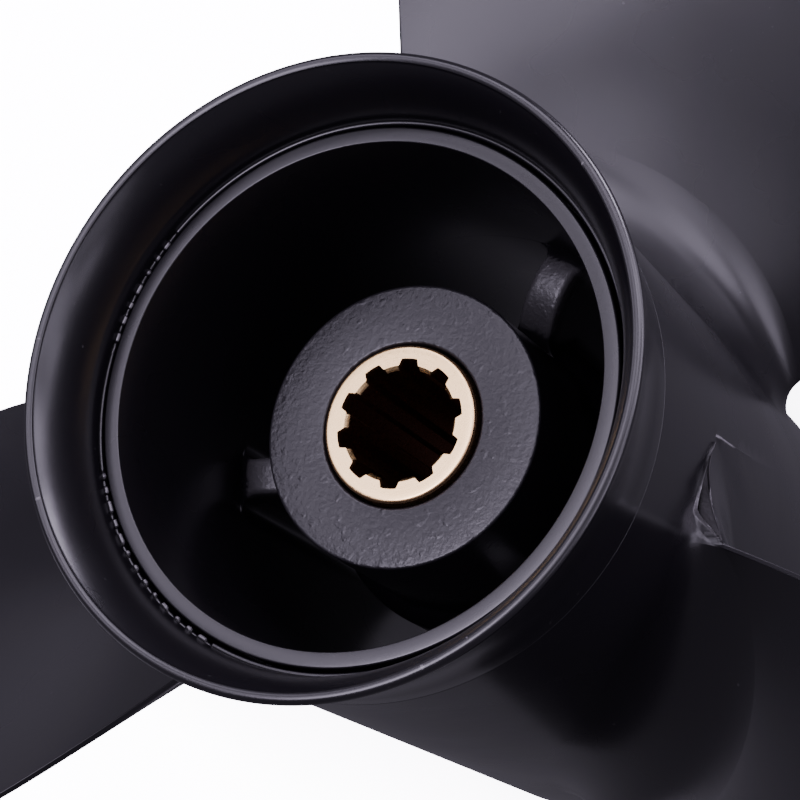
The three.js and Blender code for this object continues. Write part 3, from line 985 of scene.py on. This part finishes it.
class Nodes:
    """A material's node tree, with a short call for each kind of node that the materials share."""

    def __init__(self, name):
        self.material = bpy.data.materials.new(name)
        self.material.use_nodes = True
        self.tree = self.material.node_tree
        self.shader = self.tree.nodes["Principled BSDF"]
        self.where = self.node("ShaderNodeTexCoord").outputs["Object"]

    def feed(self, sockets, **values):
        """Sets sockets to numbers or colours, or links them to other nodes' outputs."""
        for name, value in values.items():
            socket = sockets[name.replace("_", " ")]
            if isinstance(value, bpy.types.NodeSocket):
                self.tree.links.new(value, socket)
            elif socket.type == "RGBA":
                socket.default_value = (*value, 1)
            else:
                socket.default_value = value

    def node(self, kind, settings=(), **values):
        made = self.tree.nodes.new(kind)
        for name, value in settings:
            setattr(made, name, value)
        self.feed(made.inputs, **values)
        return made

    def noise(self, scale_mm, detail=3.0, roughness=0.5):
        """Noise whose grains are about scale_mm across."""
        return self.node("ShaderNodeTexNoise", Vector=self.where, Scale=1 / (scale_mm * MM),
                         Detail=detail, Roughness=roughness).outputs["Fac"]

    def ramp(self, source, low, high, floor, ceiling):
        return self.node("ShaderNodeMapRange", Value=source, From_Min=low, From_Max=high,
                         To_Min=floor, To_Max=ceiling).outputs["Result"]

    def attribute(self, name):
        return self.node("ShaderNodeAttribute", [("attribute_name", name)]).outputs["Fac"]

    def times(self, a, b):
        made = self.node("ShaderNodeMath", [("operation", "MULTIPLY")])
        self.tree.links.new(a, made.inputs[0])
        self.tree.links.new(b, made.inputs[1])
        return made.outputs[0]

    def mix(self, share, first, second):
        """A colour between two colours."""
        made = self.node("ShaderNodeMix", [("data_type", "RGBA")], Factor=share, A=first, B=second)
        return made.outputs["Result"]

    def bumps(self, *layers):
        """Stacks (height source, distance in mm, strength) bumps on to the shader's normal."""
        normal = {}
        for source, distance_mm, strength in layers:
            made = self.node("ShaderNodeBump", Distance=distance_mm * MM, Strength=strength,
                             Height=source, **normal)
            normal = {"Normal": made.outputs["Normal"]}
        self.feed(self.shader.inputs, **normal)


def satin_paint(name, rough_low, rough_high):
    """Black enamel: slight orange peel, dust, a sand-cast skin where marked, and lighter bare-metal
    colour where marked, which is chipped paint on the ring and a painted highlight on bright edges.
    """
    nodes = Nodes(name)
    sand = nodes.noise(0.7, 2)
    pits = nodes.ramp(nodes.noise(1.3, 1, 0.4), 0.6, 0.8, 0, 1)
    dust = nodes.ramp(nodes.noise(0.9, 1, 0.3), 0.79, 0.83, 0, 0.5)
    cast = nodes.attribute("as_cast")
    wear_and_highlight = nodes.ramp(nodes.attribute("wear_and_highlight"), 0.3, 0.8, 0, 0.8)
    colour = nodes.mix(cast, ENAMEL, CAST_ENAMEL)
    colour = nodes.mix(dust, colour, DUST)
    # lighter metal colour: chipped paint, and a painted highlight along bright edges
    colour = nodes.mix(wear_and_highlight, colour, BARE_METAL_AND_HIGHLIGHT)
    satin = nodes.ramp(nodes.noise(30), 0.35, 0.65, rough_low, rough_high)
    nodes.feed(
        nodes.shader.inputs,
        Base_Color=colour,
        Roughness=nodes.ramp(cast, 0, 1, satin, CAST_ROUGHNESS),
        Specular_IOR_Level=nodes.ramp(cast, 0, 1, ENAMEL_SPECULAR, CAST_SPECULAR),
    )
    nodes.bumps(
        (nodes.times(sand, cast), 0.15, 0.6),
        (nodes.times(pits, cast), 0.12, 0.5),
        (nodes.noise(1.8, 2), 0.02, 0.4),
        (nodes.noise(0.3), 0.006, 0.4),
    )
    return nodes.material


def brass():
    """Faced and broached brass, with painted shade: darker brown on its rounded outer edge and down
    the bore.
    """
    nodes = Nodes("faced_brass")
    grain = nodes.noise(0.5, 4)
    height = nodes.node("ShaderNodeSeparateXYZ", Vector=nodes.where).outputs["Z"]
    flat = nodes.node("ShaderNodeVectorMath", [("operation", "MULTIPLY")])
    nodes.tree.links.new(nodes.where, flat.inputs[0])
    flat.inputs[1].default_value = (1, 1, 0)
    length = nodes.node("ShaderNodeVectorMath", [("operation", "LENGTH")], Vector=flat.outputs[0])
    radius = length.outputs["Value"]
    rings = nodes.node("ShaderNodeTexNoise", [("noise_dimensions", "1D")], W=radius,
                       Scale=1 / (0.22 * MM), Detail=2.0)
    inward = nodes.ramp(radius, (SPLINE_MAJOR + 0.12) * MM, (SPLINE_MAJOR + 0.02) * MM, 0, 1)
    depth = nodes.ramp(height, (sleeve_high[2] - 0.25) * MM, (sleeve_high[2] - 0.9) * MM, 0, 1)
    # painted shade: darker brown on the sleeve's rounded outer edge
    edge = nodes.ramp(radius, (SLEEVE_RADIUS - 0.5) * MM, (SLEEVE_RADIUS - 0.15) * MM, 0, 1)
    colour = nodes.mix(nodes.noise(5), BRIGHT_BRASS, DULL_BRASS)
    colour = nodes.mix(edge, colour, SHADED_EDGE_BRASS)
    # painted shade: dark brown down the splined bore, below the aft face
    colour = nodes.mix(nodes.times(inward, depth), colour, BORE_SHADE)
    nodes.feed(nodes.shader.inputs, Base_Color=colour, Metallic=1,
               Roughness=nodes.ramp(grain, 0.3, 0.7, 0.24, 0.34))
    nodes.bumps((rings.outputs["Fac"], 0.012, 0.5), (grain, 0.008, 0.3))
    return nodes.material


def rubber():
    nodes = Nodes("moulded_rubber")
    grain = nodes.noise(0.6)
    nodes.feed(nodes.shader.inputs, Base_Color=RUBBER,
               Roughness=nodes.ramp(grain, 0.3, 0.7, 0.6, 0.8))
    nodes.bumps((grain, 0.05, 0.4))
    return nodes.material


# ------------------------------------------------------------------ pieces


def dress(piece, node, body, material):
    """Gives a piece its material, ties it to the body, and hides the CAD node that it stands for."""
    piece.data.materials.append(material)
    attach(piece, body)
    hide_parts(node)


paint = satin_paint("satin_black_enamel", 0.25, 0.30)
dress(build_casting(), "propeller_casting", "propeller", paint)
dress(build_ring(), "diffuser_ring", "propeller",
      satin_paint("satin_black_ring", 0.24, 0.29))
dress(build_bush(), "rubber_bush", "rubber_bush", rubber())
dress(build_sleeve(), "spline_sleeve", "spline_sleeve", brass())

# ------------------------------------------------------------------ stage, light and camera

VIEW_TILT = math.radians(29.1)            # between the shaft and the line of sight
VIEW_AZIMUTH = math.radians(-16)
AFT_AXIS_LEAN = math.radians(180 - 35.74)  # direction of the shaft's aft end in the picture
RIM_DEPTH = 303.3                         # rim centre's distance in front of the camera
RIM_RIGHT = -10.66
RIM_UP = 4.41
LENS = 108


def build_camera():
    """The camera, placed by where it sees the centre of the ring's rim."""
    back = Vector((
        math.sin(VIEW_TILT) * math.cos(VIEW_AZIMUTH),
        math.sin(VIEW_TILT) * math.sin(VIEW_AZIMUTH),
        math.cos(VIEW_TILT),
    ))
    shaft = Vector((0, 0, 1))
    along = (shaft - back * shaft.dot(back)).normalized()
    across = back.cross(along)
    right = math.cos(AFT_AXIS_LEAN) * along - math.sin(AFT_AXIS_LEAN) * across
    up = math.sin(AFT_AXIS_LEAN) * along + math.cos(AFT_AXIS_LEAN) * across
    rim_centre = Vector((0, 0, RIM))
    place = rim_centre + back * RIM_DEPTH - right * RIM_RIGHT - up * RIM_UP
    data = bpy.data.cameras.new("camera")
    data.lens = LENS
    data.clip_start = 0.01
    camera = bpy.data.objects.new("camera", data)
    turn = Matrix((right, up, back)).transposed().to_4x4()
    camera.matrix_world = Matrix.Translation(place * MM) @ turn
    bpy.context.scene.collection.objects.link(camera)
    bpy.context.scene.camera = camera


LIGHT_TINT = (1.0, 0.91, 1.15)
LIGHT_SPREAD = 0.45                       # a disc's width as a share of its distance
# elevation and azimuth in degrees, distance in metres and watts
SOFT_LIGHTS = (
    (90, 0, 1.0, 1.85), (70, 36, 1.0, 0.92), (70, 108, 1.0, 1.54), (70, 180, 1.0, 1.60),
    (70, 252, 1.0, 1.90), (70, 252, 0.42, 0.65), (70, 324, 1.0, 0.82), (48, 0, 1.0, 0.34),
    (48, 36, 1.0, 0.60), (48, 45, 0.42, 0.33), (48, 72, 1.0, 1.98), (48, 108, 1.0, 2.45),
    (48, 135, 0.42, 0.24), (48, 144, 1.0, 0.30), (48, 180, 0.42, 0.24), (26, 15, 1.0, 0.45),
    (26, 18, 0.42, 0.21), (26, 45, 1.0, 0.67), (26, 54, 0.42, 0.29), (26, 345, 1.0, 0.71),
    (5, 0, 0.42, 0.32), (5, 30, 0.42, 0.41), (5, 51, 1.0, 1.54), (5, 77, 1.0, 7.10),
    (5, 154, 1.0, 0.22), (-20, 50, 1.0, 1.00), (-20, 215, 1.0, 0.40), (5, 215, 1.0, 0.12),
)
AMBIENT = 0.155
FLOOR_HALF_WIDTH = 4.0                    # in metres
FLOOR_GLOW = 14.0
SHADOWED_FLOOR_GLOW = 3.0
FLOOR_TINT = (1.0, 0.96, 1.04)
PALE = (0.8, 0.8, 0.82)


def soft_light(elevation, azimuth, distance, power):
    """A round soft light that faces the propeller."""
    data = bpy.data.lights.new("softbox", "AREA")
    data.shape = "DISK"
    data.size = LIGHT_SPREAD * distance
    data.energy = power
    data.color = LIGHT_TINT
    light = bpy.data.objects.new("softbox", data)
    low, side = math.radians(elevation), math.radians(azimuth)
    place = distance * Vector((
        math.cos(low) * math.cos(side), math.cos(low) * math.sin(side), math.sin(low)))
    light.location = place
    light.rotation_euler = (-place).to_track_quat("-Z", "Y").to_euler()
    bpy.context.scene.collection.objects.link(light)


def build_floor():
    """A pale floor that glows near white, with a painted contact shadow that dims its glow near the
    piece, and throws no light on it.
    """
    mesh = bpy.data.meshes.new("floor")
    half, height = FLOOR_HALF_WIDTH, float(BARREL_FRONT) * MM
    mesh.from_pydata([
        (-half, -half, height), (half, -half, height), (half, half, height), (-half, half, height),
    ], [], [(0, 1, 2, 3)])
    floor = bpy.data.objects.new("floor", mesh)
    bpy.context.scene.collection.objects.link(floor)
    nodes = Nodes("pale_floor")
    painted_contact_shadow = nodes.node("ShaderNodeAmbientOcclusion", [("samples", 6)], Distance=0.05)
    # painted contact shadow: the glow falls off where ambient occlusion finds the piece close by
    glow = nodes.ramp(painted_contact_shadow.outputs["AO"], 0, 1, SHADOWED_FLOOR_GLOW, FLOOR_GLOW)
    nodes.feed(nodes.shader.inputs, Base_Color=PALE, Roughness=0.9,
               Emission_Color=FLOOR_TINT, Emission_Strength=glow)
    floor.data.materials.append(nodes.material)
    floor.visible_diffuse = floor.visible_glossy = floor.visible_shadow = False


def build_world():
    """Even fill light, seen by the camera as the same white as the floor."""
    world = bpy.data.worlds.new("studio")
    bpy.context.scene.world = world
    world.use_nodes = True
    tree = world.node_tree
    fill = tree.nodes["Background"]
    fill.inputs["Color"].default_value = (*LIGHT_TINT, 1)
    fill.inputs["Strength"].default_value = AMBIENT
    backdrop = tree.nodes.new("ShaderNodeBackground")
    backdrop.inputs["Color"].default_value = (*FLOOR_TINT, 1)
    backdrop.inputs["Strength"].default_value = FLOOR_GLOW
    seen = tree.nodes.new("ShaderNodeLightPath")
    choice = tree.nodes.new("ShaderNodeMixShader")
    tree.links.new(seen.outputs["Is Camera Ray"], choice.inputs["Fac"])
    tree.links.new(fill.outputs[0], choice.inputs[1])
    tree.links.new(backdrop.outputs[0], choice.inputs[2])
    tree.links.new(choice.outputs[0], tree.nodes["World Output"].inputs["Surface"])


build_camera()
build_floor()
build_world()
for lamp in SOFT_LIGHTS:
    soft_light(*lamp)
